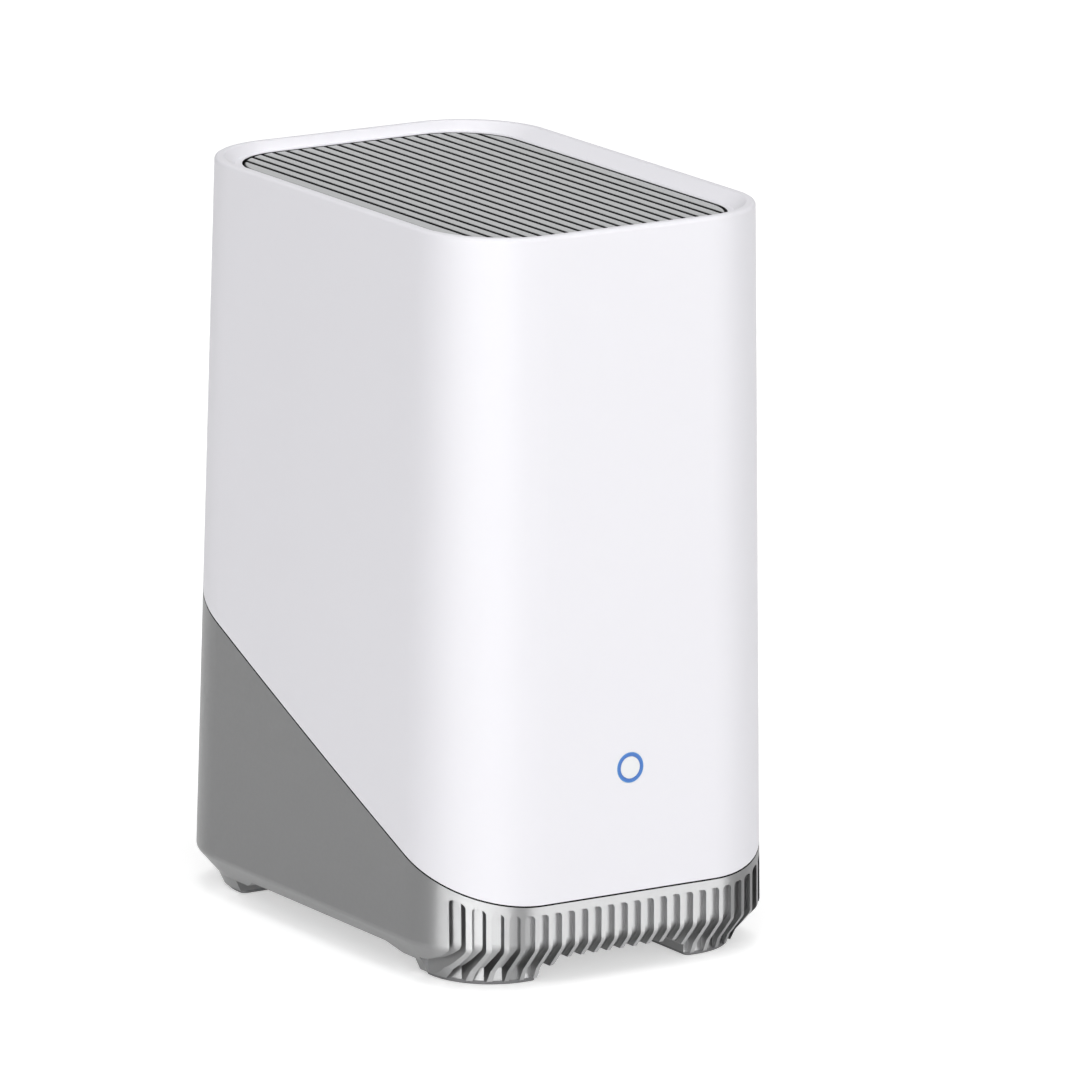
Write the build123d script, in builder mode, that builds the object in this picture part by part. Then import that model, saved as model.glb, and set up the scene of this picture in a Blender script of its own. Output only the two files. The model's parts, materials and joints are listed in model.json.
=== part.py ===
from build123d import *
import math
import os

# Home security base station: a tapered white upper shell on a grey ribbed lower housing.
# Lengths are millimetres. X runs to the right seen from the front, Y to the rear, and Z up
# from the plane on which the foot pads rest.

# Body: its outline is a rounded rectangle that shrinks from the resting plane to the rim.
body_height = 202.2
base_half_width = 54.0
base_half_depth = 76.0
rim_half_width = 50.5
rim_half_depth = 72.5
base_corner_radius = 26.75
rim_corner_radius = 25.0
shell_wall = 2.5
housing_wall = 3.0

# Seam between the shell and the housing: it climbs from the front to the rear and sags a little.
seam_front_height = 22.65
seam_rear_height = 89.25
seam_sag = 1.55
seam_gap = 0.45

# Sloped skirt under the housing. At each corner it runs on below the floor as a foot, whose last part,
# the toe, is steeper and shorter. Foot and toe end where X and Y come down to these distances.
bend_height = 11.0
bend_radius = 2.4
slope_run = 0.9
floor_low = 6.7
floor_thickness = 3.0
foot_end_x = 18.0
foot_end_y = 34.0
foot_flare_x = 2.5
foot_flare_y = 5.4
toe_height = 4.3
toe_inset = 7.6
toe_end_x = 22.9
toe_end_y = 45.5
core_inset = 8.75
core_height = 4.6
pad_thickness = 1.1
pad_end_gap = 0.8
pad_corner = 1.5
pad_round = 0.3

# Ribbed front of the housing
groove_pitch = 4.15
grooves_per_side = 12
groove_width = 2.9
groove_depth = 1.5
groove_top_margin = 2.3
groove_corner = 1.0
groove_bend_radius = 3.0

# Grille: a flat panel in an opening of the shell, whose surround slopes up to the rim
grille_drop = 2.6
grille_thickness = 4.6
grille_half_width = 41.6
grille_half_depth = 66.9
grille_corner = 18.0
grille_gap = 0.45
grille_round = 1.0
surround_margin = 1.9
surround_thickness = 2.0
collar_wall = 2.0
grille_groove_pitch = 4.1
grille_grooves = 19
grille_groove_width = 1.5
grille_groove_depth = 3.2

# Gaps between pieces, and how far a cutting block runs past what it cuts
overrun = 5.0
fit_gap = 0.08
rest_gap = 0.3
slide_gap = 0.4

# Heights that several pieces share
floor_top = floor_low + floor_thickness
crown_height = body_height - grille_drop
ledge_top = crown_height - grille_thickness
board_thickness = 1.6
board_low = 15.7
board_top = board_low + board_thickness
deck_low = 176.9
deck_thickness = 2.2
deck_top = deck_low + deck_thickness

# Bay for a standard 2.5-inch drive, hung on edge under the deck
drive_length = 100.2
drive_width = 69.85
drive_thickness = 9.5
drive_slack = 0.35
tray_plate = 1.6
tray_lip = 1.8
cage_wall = 1.6
tray_half_width = (tray_plate + drive_thickness + drive_slack) / 2
tray_half_height = (drive_width + drive_slack) / 2 + tray_lip
cage_half_width = tray_half_width + slide_gap + cage_wall
cage_half_height = tray_half_height + slide_gap + cage_wall
drive_centre = deck_low - cage_half_height

centre_low = (Align.CENTER, Align.CENTER, Align.MIN)
centre_high = (Align.CENTER, Align.CENTER, Align.MAX)
sides = (-1, 1)
corners = [(x, y) for x in sides for y in sides]
facing_down = (0, 0, -1)
facing_rear = (0, 1, 0)


def between(low, high, height):
    """Size of the tapered body at a height, between its values at the base and the rim."""
    return low + (high - low) * height / body_height


def half_width(height):
    return between(base_half_width, rim_half_width, height)


def half_depth(height):
    return between(base_half_depth, rim_half_depth, height)


def corner_radius(height):
    return between(base_corner_radius, rim_corner_radius, height)


def outline(height, inset):
    """The body's outline at a height, moved in by inset."""
    with BuildSketch(Plane.XY.offset(height)) as ring:
        RectangleRounded(
            2 * (half_width(height) - inset),
            2 * (half_depth(height) - inset),
            corner_radius(height) - inset,
        )
    return ring.sketch


def body_block(low, high, low_inset, high_inset, mode=Mode.ADD):
    """Loft the body's outline between two heights into the open part."""
    loft([outline(low, low_inset), outline(high, high_inset)], ruled=True, mode=mode)


def grille_block(low, high, growth, mode=Mode.ADD):
    """Add the grille's outline, grown on all sides, to the open part as a block between two heights."""
    with BuildSketch(Plane.XY.offset(low)) as plate:
        RectangleRounded(
            2 * (grille_half_width + growth),
            2 * (grille_half_depth + growth),
            grille_corner + growth,
        )
    extrude(plate.sketch, amount=high - low, mode=mode)


def seam_height(y):
    """Height of the straight line through the seam's two ends."""
    share = (y + base_half_depth) / (2 * base_half_depth)
    return seam_front_height + (seam_rear_height - seam_front_height) * share


def under_seam(lift):
    """Everything under the seam surface, with that surface raised by lift."""
    reach = base_half_depth + overrun
    front = (-reach, seam_height(-reach) + lift)
    middle = (0, seam_height(0) - seam_sag + lift)
    rear = (reach, seam_height(reach) + lift)
    with BuildSketch(Plane.YZ) as side:
        with BuildLine():
            ThreePointArc(front, middle, rear)
            Polyline(rear, (reach, -overrun), (-reach, -overrun), front)
        make_face()
    return extrude(side.sketch, amount=reach, both=True, mode=Mode.PRIVATE)


def slope_inset(height, depth):
    """Inset of the sloped skirt at a height, measured depth under its surface."""
    return slope_run * (bend_height - height) + depth * math.hypot(1, slope_run)


def bend_at(depth):
    """Height where the slope meets the upright wall when both are moved in by depth."""
    return bend_height + depth * (math.hypot(1, slope_run) - 1) / slope_run


def places_at(height, half_x, half_y):
    """The four places at plus and minus half_x and half_y, at a height."""
    return [(x * half_x, y * half_y, height) for x, y in corners]


def places_under(height, half_x, half_y):
    """The same four places, facing down."""
    return [Plane(origin=place, z_dir=facing_down) for place in places_at(height, half_x, half_y)]


def screw(head_radius, head_height, shank_radius, shank_length):
    """Add a cross-head screw at the open locations, its head standing on them."""
    slot_width = head_radius * 0.35
    slot_length = head_radius * 1.3
    slot_depth = head_height * 0.6
    Cylinder(head_radius, head_height, align=centre_low)
    Cylinder(shank_radius, shank_length, align=centre_high)
    with Locations((0, 0, head_height)):
        Box(slot_length, slot_width, slot_depth, align=centre_high, mode=Mode.SUBTRACT)
        Box(slot_width, slot_length, slot_depth, align=centre_high, mode=Mode.SUBTRACT)


pieces = []


def keep(part, name):
    """Name a finished piece and put it on the list of pieces to write."""
    part.label = name
    pieces.append(part)


# Upper shell: drafted wall, rim, sloping surround, collar with a seat for the grille, and lugs for the frame
rim_round = 1.0
ledge_thickness = 2.0
ledge_width = 2.5
lug_x = 36.0
lug_y = 53.0
lug_radius = 5.0
lug_depth = 4.0
deck_screw_head_radius = 2.6
deck_screw_head_height = 1.5
deck_screw_radius = 1.4
deck_screw_length = 10.0
ring_height = 56.8
ring_radius = 4.1
ring_band = 1.05
light_boss_x = 9.0
light_boss_radius = 2.2
light_board_face = 64.4
bezel_width = 16.0
bezel_height = 80.0
bezel_round = 2.5
led_screw_radius = 0.9
led_screw_length = 4.5
shell_low = seam_front_height - overrun
lug_low = ledge_top - lug_depth
ledge_low = ledge_top - ledge_thickness
surround_low = crown_height - surround_thickness

with BuildPart() as shell_room:
    body_block(shell_low, surround_low, shell_wall, shell_wall)
    grille_block(ledge_low, surround_low, grille_gap + collar_wall, Mode.SUBTRACT)

with BuildPart() as surround_room:
    with BuildSketch(Plane.XY.offset(crown_height)) as foot_of_slope:
        RectangleRounded(
            2 * (grille_half_width + grille_gap + surround_margin),
            2 * (grille_half_depth + grille_gap + surround_margin),
            grille_corner + grille_gap + surround_margin,
        )
    loft([foot_of_slope.sketch, outline(body_height, shell_wall)], ruled=True)
    grille_block(ledge_top, crown_height, grille_gap)
    grille_block(ledge_low, ledge_top, grille_gap - ledge_width)

with BuildPart() as upper_shell:
    body_block(shell_low, body_height, 0, 0)
    rim_face = upper_shell.faces().sort_by(Axis.Z)[-1]
    fillet(rim_face.outer_wire().edges(), rim_round)
    add(shell_room.part, mode=Mode.SUBTRACT)
    add(surround_room.part, mode=Mode.SUBTRACT)
    rim_face = upper_shell.faces().filter_by(Axis.Z).sort_by(Axis.Z)[-1]
    fillet(rim_face.inner_wires()[0].edges(), rim_round / 2)
    add(under_seam(seam_gap), mode=Mode.SUBTRACT)
    with Locations(*places_at(ledge_top, lug_x, lug_y)):
        Cylinder(lug_radius, lug_depth, align=centre_high)
        CounterBoreHole(
            deck_screw_radius + fit_gap,
            deck_screw_head_radius + rest_gap,
            deck_screw_head_height + rest_gap,
            depth=lug_depth,
        )
    with Locations(*[Plane((x * light_boss_x, -light_board_face, ring_height), z_dir=(0, -1, 0)) for x in sides]):
        Cylinder(light_boss_radius, half_depth(ring_height) - light_board_face - shell_wall / 2, align=centre_low)
    with Locations(*[Plane((x * light_boss_x, -light_board_face, ring_height), z_dir=facing_rear) for x in sides]):
        Hole(led_screw_radius + fit_gap, depth=led_screw_length)
    with Locations(Plane((0, -half_depth(ring_height), ring_height), z_dir=facing_rear)):
        Cylinder(ring_radius + fit_gap, 2 * overrun, mode=Mode.SUBTRACT)
    with BuildSketch(Plane.XZ.offset(-rim_half_depth + overrun)):
        with Locations((0, drive_centre)):
            RectangleRounded(bezel_width + 2 * rest_gap, bezel_height + 2 * rest_gap, bezel_round + rest_gap)
    extrude(amount=-3 * overrun, mode=Mode.SUBTRACT)
keep(upper_shell.part, "upper_shell")


# Grille: a flat panel with grooves from front to rear, and windows in the groove floors
grille_windows = 4
window_reach = 56.0
window_bridge = 4.0
window_pitch = 2 * window_reach / grille_windows
groove_floor = crown_height - grille_groove_depth

with BuildPart() as top_grille:
    grille_block(ledge_top, crown_height, 0)
    fillet(top_grille.edges().group_by(Axis.Z)[-1], grille_round)
    with Locations((0, 0, groove_floor)):
        with GridLocations(grille_groove_pitch, 0, grille_grooves, 1):
            Box(
                grille_groove_width,
                2 * (grille_half_depth + overrun),
                grille_groove_depth + overrun,
                align=centre_low,
                mode=Mode.SUBTRACT,
            )
    with Locations((0, 0, ledge_top)):
        with GridLocations(grille_groove_pitch, window_pitch, grille_grooves, grille_windows):
            Box(grille_groove_width, window_pitch - window_bridge, 2 * grille_thickness, mode=Mode.SUBTRACT)
keep(top_grille.part, "top_grille")


# Dust screen: a thin holed sheet under the grille
screen_thickness = 0.5
screen_hole = 5.6
screen_pitch = 6.8
screen_columns = 11
screen_rows = 18
screen_low = ledge_top - screen_thickness

with BuildPart() as dust_screen:
    with BuildSketch(Plane.XY.offset(screen_low)):
        screen_inset = ledge_width - grille_gap + rest_gap
        RectangleRounded(
            2 * (grille_half_width - screen_inset),
            2 * (grille_half_depth - screen_inset),
            grille_corner - screen_inset,
        )
        with Locations(*[(x * lug_x, y * lug_y) for x, y in corners]):
            Circle(lug_radius + rest_gap, mode=Mode.SUBTRACT)
        with GridLocations(screen_pitch, screen_pitch, screen_columns, screen_rows - 4):
            RectangleRounded(screen_hole, screen_hole, screen_hole / 8, mode=Mode.SUBTRACT)
        with GridLocations(screen_pitch, screen_pitch * (screen_rows - 1), screen_columns - 6, 2):
            RectangleRounded(screen_hole, screen_hole, screen_hole / 8, mode=Mode.SUBTRACT)
        with GridLocations(screen_pitch, screen_pitch * (screen_rows - 3), screen_columns - 4, 2):
            RectangleRounded(screen_hole, screen_hole, screen_hole / 8, mode=Mode.SUBTRACT)
    extrude(amount=screen_thickness)
keep(dust_screen.part, "dust_screen")


# Lower housing: upright wall under the seam, sloped skirt, feet, ribs, floor and seam lip
lip_thickness = 1.4
lip_rise = 3.0
lip_root = 4.0
port_opening_width = 56.0
port_opening_height = 20.0
port_opening_centre = 24.7
port_opening_round = 3.0
cover_half_width = 32.0
cover_half_depth = 31.0
cover_round = 4.0
cover_thickness = 1.6
cover_ledge = 4.0
cover_screw_inset = 3.2
cover_boss_radius = 3.2
cover_boss_height = 4.0
cover_screw_radius = 1.2
cover_screw_length = 5.5
cover_screw_head_radius = 2.3
standoff_x = 31.0
standoff_y = 48.0
standoff_radius = 3.2
board_screw_radius = 1.1
board_screw_length = 6.0
frame_screw_x = 39.5
frame_screw_y = 26.0
frame_screw_radius = 1.5
frame_screw_length = 5.6
frame_screw_head_radius = 2.8
frame_screw_head_height = 1.5
wall_top = seam_rear_height + overrun


def corner_blocks(low, high, low_ends, high_ends):
    """Add a block at each corner to the open part, from its inner ends to past the body's sides."""
    reach_x = base_half_width + overrun
    reach_y = base_half_depth + overrun
    for x, y in corners:
        faces = []
        for height, ends in ((low, low_ends), (high, high_ends)):
            with BuildSketch(Plane.XY.offset(height)) as face:
                with Locations((x * (ends[0] + reach_x) / 2, y * (ends[1] + reach_y) / 2)):
                    Rectangle(reach_x - ends[0], reach_y - ends[1])
            faces.append(face.sketch)
        loft(faces, ruled=True)


toe_ends = (toe_end_x, toe_end_y)
foot_low_ends = (foot_end_x + foot_flare_x, foot_end_y + foot_flare_y)
foot_ends = (foot_end_x, foot_end_y)
under_low = pad_thickness - overrun

with BuildPart() as foot_room:
    corner_blocks(under_low, toe_height, toe_ends, toe_ends)
    corner_blocks(toe_height, floor_low, foot_low_ends, foot_ends)

with BuildPart() as under_floor:
    with Locations((0, 0, under_low)):
        Box(2 * base_half_width, 2 * base_half_depth, floor_low - under_low, align=centre_low)
    add(foot_room.part, mode=Mode.SUBTRACT)

with BuildPart() as groove_core:
    body_block(bend_at(groove_depth), wall_top, groove_depth, groove_depth)
    body_block(core_height, bend_at(groove_depth), core_inset, groove_depth)
    fillet(groove_core.edges().group_by(Axis.Z)[2], groove_bend_radius)
    body_block(under_low, core_height, core_inset, core_inset)

with BuildPart() as front_grooves:
    with Locations((0, base_corner_radius - base_half_depth, under_low)):
        with GridLocations(groove_pitch, 0, 2 * grooves_per_side, 1):
            Box(groove_width, base_corner_radius + overrun, wall_top, align=(Align.CENTER, Align.MAX, Align.MIN))
    add(under_seam(-groove_top_margin), mode=Mode.INTERSECT)
    fillet(front_grooves.edges().filter_by(GeomType.CIRCLE), groove_corner)
    add(groove_core.part, mode=Mode.SUBTRACT)

with BuildPart() as seam_lip:
    lip_inset = shell_wall + rest_gap
    lip_low = bend_at(housing_wall)
    body_block(lip_low, wall_top, lip_inset, lip_inset)
    body_block(lip_low, wall_top, lip_inset + lip_thickness, lip_inset + lip_thickness, Mode.SUBTRACT)
    add(under_seam(lip_rise), mode=Mode.INTERSECT)
    add(under_seam(-lip_root), mode=Mode.SUBTRACT)

with BuildPart() as lower_housing:
    body_block(bend_height, wall_top, 0, 0)
    body_block(toe_height, bend_height, slope_inset(toe_height, 0), 0)
    bend_edges = lower_housing.edges().group_by(Axis.Z)[2]
    fillet(bend_edges, bend_radius)
    body_block(pad_thickness, toe_height, toe_inset, slope_inset(toe_height, 0))
    add(under_floor.part, mode=Mode.SUBTRACT)
    add(under_seam(0), mode=Mode.INTERSECT)
    floor_edge_inset = slope_inset(floor_top, housing_wall)
    body_block(floor_top, bend_at(housing_wall), floor_edge_inset, housing_wall, Mode.SUBTRACT)
    body_block(bend_at(housing_wall), wall_top, housing_wall, housing_wall, Mode.SUBTRACT)
    add(front_grooves.part, mode=Mode.SUBTRACT)
    add(seam_lip.part)
    with BuildSketch(Plane.XZ.offset(-base_half_depth + 2 * housing_wall)):
        with Locations((0, port_opening_centre)):
            RectangleRounded(port_opening_width, port_opening_height, port_opening_round)
    extrude(amount=-2 * housing_wall - overrun, mode=Mode.SUBTRACT)
    with Locations(*places_at(floor_top, cover_half_width - cover_screw_inset, cover_half_depth - cover_screw_inset)):
        Cylinder(cover_boss_radius, cover_boss_height, align=centre_low)
    with BuildSketch(Plane.XY.offset(floor_low)):
        RectangleRounded(2 * (cover_half_width + rest_gap), 2 * (cover_half_depth + rest_gap), cover_round + rest_gap)
    extrude(amount=cover_thickness, mode=Mode.SUBTRACT)
    with BuildSketch(Plane.XY.offset(floor_low)):
        RectangleRounded(
            2 * (cover_half_width - cover_ledge),
            2 * (cover_half_depth - cover_ledge),
            2 * cover_round,
        )
    extrude(amount=floor_thickness + cover_boss_height, mode=Mode.SUBTRACT)
    with Locations(*places_under(floor_low, cover_half_width - cover_screw_inset, cover_half_depth - cover_screw_inset)):
        Hole(cover_screw_radius + fit_gap, depth=cover_screw_length + rest_gap)
    with Locations(*places_at(floor_top, standoff_x, standoff_y)):
        Cylinder(standoff_radius, board_low - floor_top, align=centre_low)
    with Locations(*places_at(board_low, standoff_x, standoff_y)):
        Hole(board_screw_radius + fit_gap, depth=board_screw_length)
    with Locations(*places_under(floor_low, frame_screw_x, frame_screw_y)):
        CounterBoreHole(
            frame_screw_radius + fit_gap,
            frame_screw_head_radius + rest_gap,
            frame_screw_head_height + rest_gap,
            depth=floor_thickness,
        )
keep(lower_housing.part, "lower_housing")


# Bottom cover with air slots
vent_width = 2.6
vent_length = 20.0
vent_pitch = 5.6
vent_columns = 7
vent_rows = 2

with BuildPart() as bottom_cover:
    with BuildSketch(Plane.XY.offset(floor_low)):
        RectangleRounded(2 * cover_half_width, 2 * cover_half_depth, cover_round)
        with GridLocations(vent_pitch, vent_length + vent_pitch, vent_columns, vent_rows):
            SlotOverall(vent_length, vent_width, rotation=90, mode=Mode.SUBTRACT)
    extrude(amount=cover_thickness)
    with Locations(*places_under(floor_low, cover_half_width - cover_screw_inset, cover_half_depth - cover_screw_inset)):
        CounterSinkHole(
            cover_screw_radius + fit_gap,
            cover_screw_head_radius,
            depth=cover_thickness,
            counter_sink_angle=90,
        )
keep(bottom_cover.part, "bottom_cover")

with BuildPart() as cover_screws:
    with Locations(*places_under(floor_low, cover_half_width - cover_screw_inset, cover_half_depth - cover_screw_inset)):
        Cylinder(cover_screw_radius, cover_screw_length, align=centre_high)
        sink_depth = cover_screw_head_radius - cover_screw_radius
        Cone(
            cover_screw_radius,
            cover_screw_head_radius - fit_gap,
            sink_depth - fit_gap,
            align=centre_high,
        )
        Box(cover_screw_head_radius, cover_screw_radius / 2, sink_depth, mode=Mode.SUBTRACT)
        Box(cover_screw_radius / 2, cover_screw_head_radius, sink_depth, mode=Mode.SUBTRACT)
keep(cover_screws.part, "cover_screws")


# Foot pads: one flat rubber pad under each toe, flush with the floors of the grooves
pad_end_x = toe_end_x + pad_end_gap
pad_end_y = toe_end_y + pad_end_gap
pad_names = {
    (-1, -1): "foot_pad_front_left",
    (1, -1): "foot_pad_front_right",
    (-1, 1): "foot_pad_rear_left",
    (1, 1): "foot_pad_rear_right",
}
for place, pad_name in pad_names.items():
    with BuildPart() as foot_pad:
        with BuildSketch(Plane.XY) as pad_outline:
            add(outline(0, core_inset))
            pad_width = base_half_width - pad_end_x
            pad_depth = base_half_depth - pad_end_y
            with Locations((place[0] * (pad_end_x + pad_width / 2), place[1] * (pad_end_y + pad_depth / 2))):
                Rectangle(pad_width, pad_depth, mode=Mode.INTERSECT)
            ends = pad_outline.vertices().filter_by(
                lambda end: min(abs(end.X) - pad_end_x, abs(end.Y) - pad_end_y) < fit_gap
            )
            fillet(ends, pad_corner)
        extrude(amount=pad_thickness)
        fillet(foot_pad.edges().group_by(Axis.Z)[0], pad_round)
    keep(foot_pad.part, pad_name)


# Inner frame: a deck on two windowed side plates, with posts under the shell's lugs
plate_inner_x = 44.0
plate_thickness = 2.0
plate_half_depth = 52.0
plate_window_half_depth = 40.0
plate_window_height = 68.0
plate_window_low = 17.0
plate_window_step = 80.0
plate_window_round = 6.0
deck_gap = 0.6
deck_inset = shell_wall + deck_gap
post_radius = 3.4
frame_lug_width = 8.5
frame_lug_depth = 12.0
frame_lug_height = 4.0
lead_hole_radius = 3.0
lead_x = 37.0
lead_y = 20.0
siren_lead_y = -30.0
fan_y = 28.0
fan_size = 60.0
fan_height = 15.0
fan_bore_radius = 28.5
fan_hole_half_spacing = 25.0
fan_screw_radius = 1.5
fan_flange = 5.0
cage_screw_ys = (-7.0, 62.5)
cage_screw_radius = 1.3
cage_screw_length = 3.6
cage_screw_head_radius = 2.2
cage_screw_head_height = 1.4
antenna_y = 46.0
antenna_low = 131.0
antenna_hole_drop = 4.0
antenna_hole_radius = 1.2

with BuildPart() as inner_frame:
    with BuildSketch(Plane.XY.offset(deck_low)):
        RectangleRounded(
            2 * (half_width(deck_top) - deck_inset),
            2 * (half_depth(deck_top) - deck_inset),
            corner_radius(deck_top) - deck_inset,
        )
        with Locations((0, fan_y)):
            Circle(fan_bore_radius, mode=Mode.SUBTRACT)
        with Locations((lead_x, lead_y), (-lead_x, siren_lead_y)):
            Circle(lead_hole_radius, mode=Mode.SUBTRACT)
    extrude(amount=deck_thickness)
    with Locations(*[(x * (plate_inner_x + plate_thickness / 2), 0, floor_top) for x in sides]):
        Box(plate_thickness, 2 * plate_half_depth, deck_low - floor_top, align=centre_low)
    for step in range(2):
        window_centre = plate_window_low + plate_window_height / 2 + step * plate_window_step
        with BuildSketch(Plane.YZ):
            with Locations((0, window_centre)):
                RectangleRounded(2 * plate_window_half_depth, plate_window_height, plate_window_round)
        extrude(amount=plate_inner_x + 2 * plate_thickness, both=True, mode=Mode.SUBTRACT)
    with Locations(*places_at(floor_top, plate_inner_x - frame_lug_width / 2, frame_screw_y)):
        Box(frame_lug_width, frame_lug_depth, frame_lug_height, align=centre_low)
    with Locations(*places_under(floor_top, frame_screw_x, frame_screw_y)):
        Hole(frame_screw_radius + fit_gap, depth=frame_lug_height)
    with Locations(*places_at(deck_top, lug_x, lug_y)):
        Cylinder(post_radius, lug_low - deck_top, align=centre_low)
    with Locations(*places_at(lug_low, lug_x, lug_y)):
        Hole(deck_screw_radius + fit_gap, depth=deck_screw_length)
    with Locations(*[(0, y, deck_top) for y in cage_screw_ys]):
        Hole(cage_screw_radius + fit_gap, depth=deck_thickness)
    with Locations((0, fan_y, deck_top)):
        with GridLocations(2 * fan_hole_half_spacing, 2 * fan_hole_half_spacing, 2, 2):
            Hole(fan_screw_radius + fit_gap, depth=deck_thickness)
    coax_places = ((-plate_inner_x, -antenna_y), (plate_inner_x, -antenna_y), (plate_inner_x, antenna_y))
    with Locations(*[(x, y, antenna_low - antenna_hole_drop) for x, y in coax_places]):
        Cylinder(antenna_hole_radius, 4 * plate_thickness, rotation=(0, 90, 0), mode=Mode.SUBTRACT)
keep(inner_frame.part, "inner_frame")

with BuildPart() as frame_screws:
    head_face = floor_low + frame_screw_head_height + rest_gap
    with Locations(*places_under(head_face, frame_screw_x, frame_screw_y)):
        screw(frame_screw_head_radius, frame_screw_head_height, frame_screw_radius, frame_screw_length - rest_gap)
keep(frame_screws.part, "frame_screws")

with BuildPart() as deck_screws:
    head_face = ledge_top - deck_screw_head_height - rest_gap
    with Locations(*places_at(head_face, lug_x, lug_y)):
        screw(deck_screw_head_radius, deck_screw_head_height, deck_screw_radius, deck_screw_length)
keep(deck_screws.part, "deck_screws")


# Drive bay: a tube hung under the deck, with a front wall that carries the drive's socket
cage_front = -36.4
cage_rear = 70.0
cage_window_length = 26.0
cage_window_height = 48.0
cage_window_pitch = 33.0
screw_head_room = 1.6
drive_board_width = 15.0
drive_board_height = 72.0
drive_board_thickness = 1.6
drive_board_screw_rise = 31.0
connector_width = 8.0
connector_height = 42.0
connector_flange = 2.0
connector_reach = 3.0
connector_slot_width = 1.4
connector_slot_depth = 2.6
data_slot_height = 11.0
power_slot_height = 21.0
slot_spread = 10.5
board_front = cage_front - drive_board_thickness


def cage_screw_places():
    """Two screws down through the deck, and two through the drive board into the cage."""
    down = [Location((0, y, deck_top)) for y in cage_screw_ys]
    along = [Plane((0, board_front, drive_centre + side * drive_board_screw_rise), z_dir=(0, -1, 0)) for side in sides]
    return down + along


cage_width = 2 * cage_half_width + screw_head_room

with BuildPart() as drive_cage:
    with BuildSketch(Plane.XZ.offset(-cage_front)):
        with Locations((-screw_head_room / 2, drive_centre)):
            Rectangle(cage_width, 2 * cage_half_height)
            Rectangle(cage_width - 2 * cage_wall, 2 * (cage_half_height - cage_wall), mode=Mode.SUBTRACT)
    extrude(amount=cage_front - cage_rear)
    with BuildSketch(Plane.XZ.offset(-cage_front)):
        with Locations((-screw_head_room / 2, drive_centre)):
            Rectangle(cage_width, 2 * cage_half_height)
        with Locations((0, drive_centre)):
            Rectangle(connector_width + 2 * rest_gap, connector_height + 2 * rest_gap, mode=Mode.SUBTRACT)
    extrude(amount=-cage_wall)
    with BuildSketch(Plane.YZ):
        with Locations(((cage_front + cage_rear) / 2, drive_centre)):
            with GridLocations(cage_window_pitch, 0, 3, 1):
                RectangleRounded(cage_window_length, cage_window_height, cage_wall)
    extrude(amount=2 * cage_half_width, both=True, mode=Mode.SUBTRACT)
    with Locations(*cage_screw_places()):
        Hole(cage_screw_radius + fit_gap, depth=cage_screw_length + fit_gap)
keep(drive_cage.part, "drive_cage")

with BuildPart() as cage_screws:
    with Locations(*cage_screw_places()):
        screw(cage_screw_head_radius, cage_screw_head_height, cage_screw_radius, cage_screw_length)
keep(cage_screws.part, "cage_screws")

with BuildPart() as drive_board:
    with BuildSketch(Plane.XZ.offset(-cage_front)):
        with Locations((0, drive_centre)):
            Rectangle(drive_board_width, drive_board_height)
            with GridLocations(0, 2 * drive_board_screw_rise, 1, 2):
                Circle(cage_screw_radius + fit_gap, mode=Mode.SUBTRACT)
    extrude(amount=drive_board_thickness)
keep(drive_board.part, "drive_board")

with BuildPart() as drive_connector:
    with Locations((0, cage_front, drive_centre)):
        connector_depth = connector_flange + connector_reach
        Box(connector_width, connector_depth, connector_height, align=(Align.CENTER, Align.MIN, Align.CENTER))
    with Locations((0, cage_front + connector_depth - connector_slot_depth, drive_centre)):
        slot_align = (Align.CENTER, Align.MIN, Align.CENTER)
        with Locations((0, 0, slot_spread)):
            Box(connector_slot_width, connector_slot_depth, data_slot_height, align=slot_align, mode=Mode.SUBTRACT)
        with Locations((0, 0, data_slot_height / 2 - slot_spread)):
            Box(connector_slot_width, connector_slot_depth, power_slot_height, align=slot_align, mode=Mode.SUBTRACT)
keep(drive_connector.part, "drive_connector")


# Drive tray: a channel on edge with the drive's four screw holes, and a bezel flush with the shell
tray_end_gap = 1.8
tray_front = cage_front + connector_flange + connector_reach + tray_end_gap
bezel_back = cage_rear + slide_gap
tray_slot_length = 56.0
tray_slot_width = 5.0
tray_slot_pitch = 12.0
tray_slots = 4
drive_plug_gap = 0.2
drive_hole_radius = 1.6
drive_hole_near = 14.0
drive_hole_far = 90.6
drive_hole_rise = 30.86
pull_width = 9.0
pull_height = 20.0
pull_depth = 2.2
pull_drop = 22.0
pull_round = 2.0
drive_edge = cage_front + connector_flange + drive_plug_gap

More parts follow.
